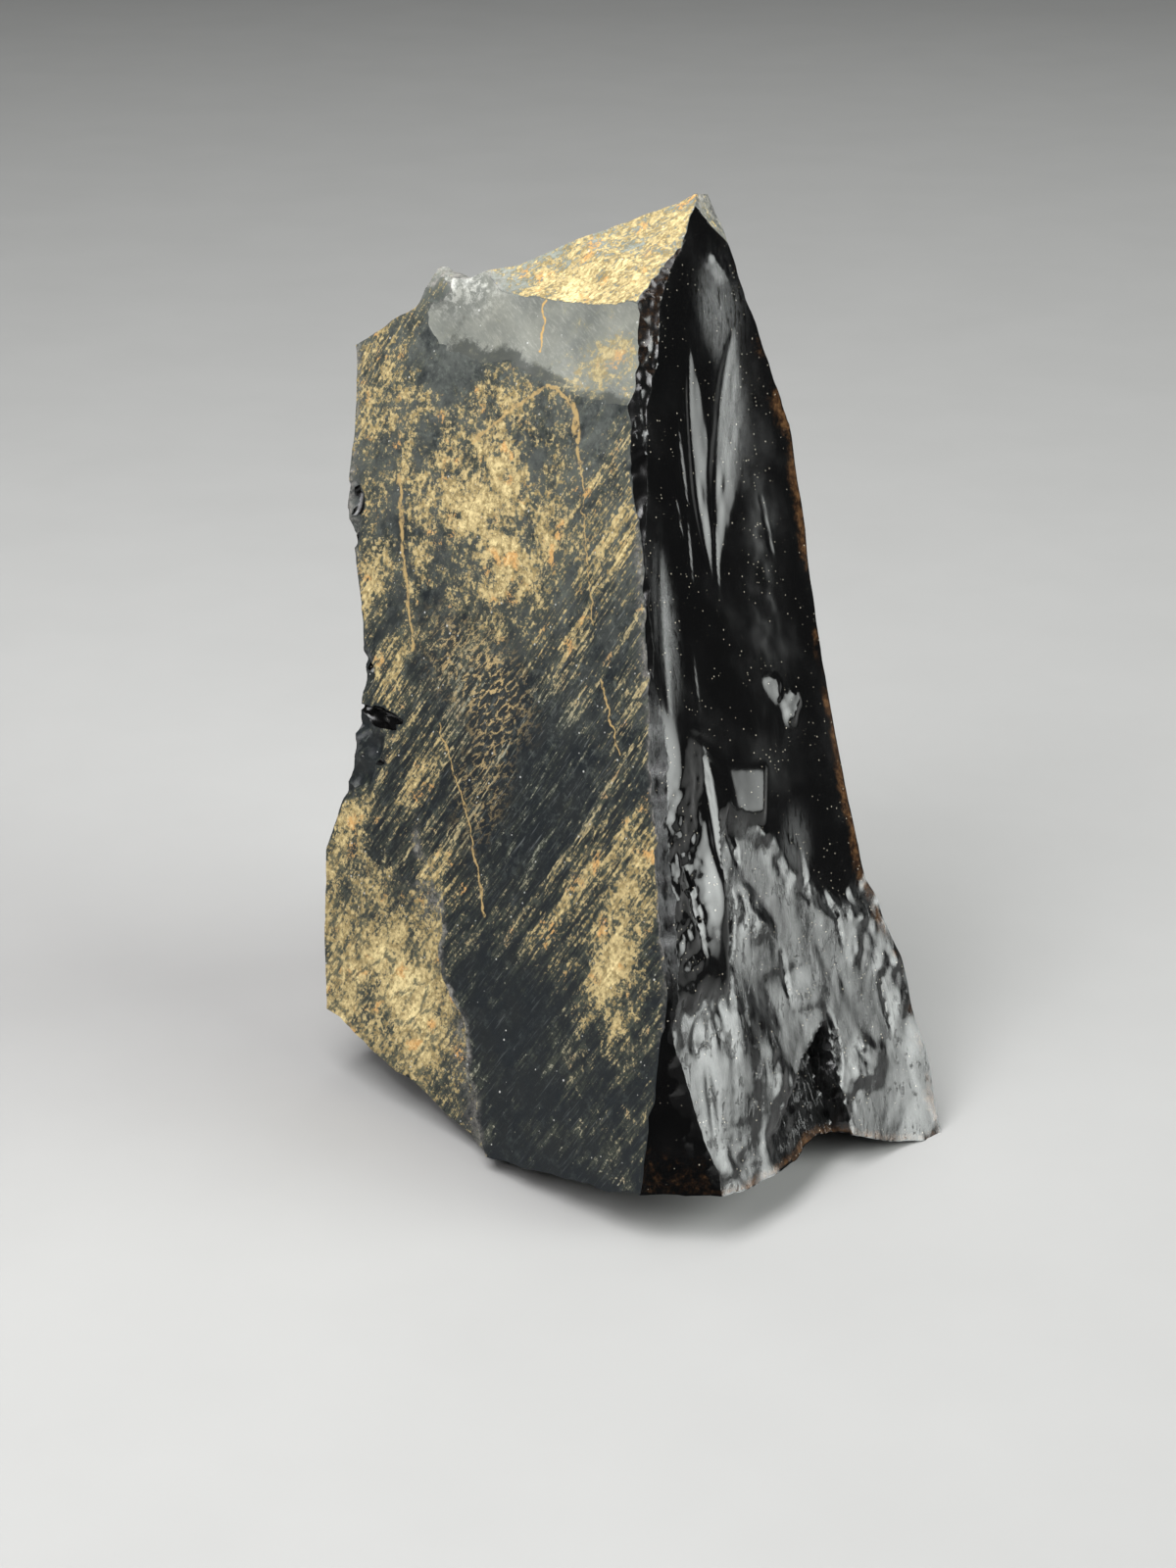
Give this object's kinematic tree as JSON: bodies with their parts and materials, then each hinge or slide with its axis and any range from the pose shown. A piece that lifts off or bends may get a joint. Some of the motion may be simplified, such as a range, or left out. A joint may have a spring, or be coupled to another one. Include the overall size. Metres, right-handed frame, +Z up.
{
  "type": "morion quartz crystal specimen",
  "caption": "Broken end of a near-black smoky quartz crystal: stained striated prism face, glassy conchoidal fracture, sloping top and broken flat foot.",
  "frame": {"origin": "under the middle of the crystal's bounding box, at the height it rests on", "axes": "+Z up along the standing crystal, front edge between prism face and fracture towards -Y, sharp toe of the fracture towards +X"},
  "size_m": [0.052, 0.0542, 0.0717],
  "materials": {
    "morion": "Vitreous near-black quartz; one prism face semi-matte slate grey with patchy ochre iron stain"
  },
  "bodies": {
    "root": {"morion_crystal": "morion"}
  },
  "joints": []
}
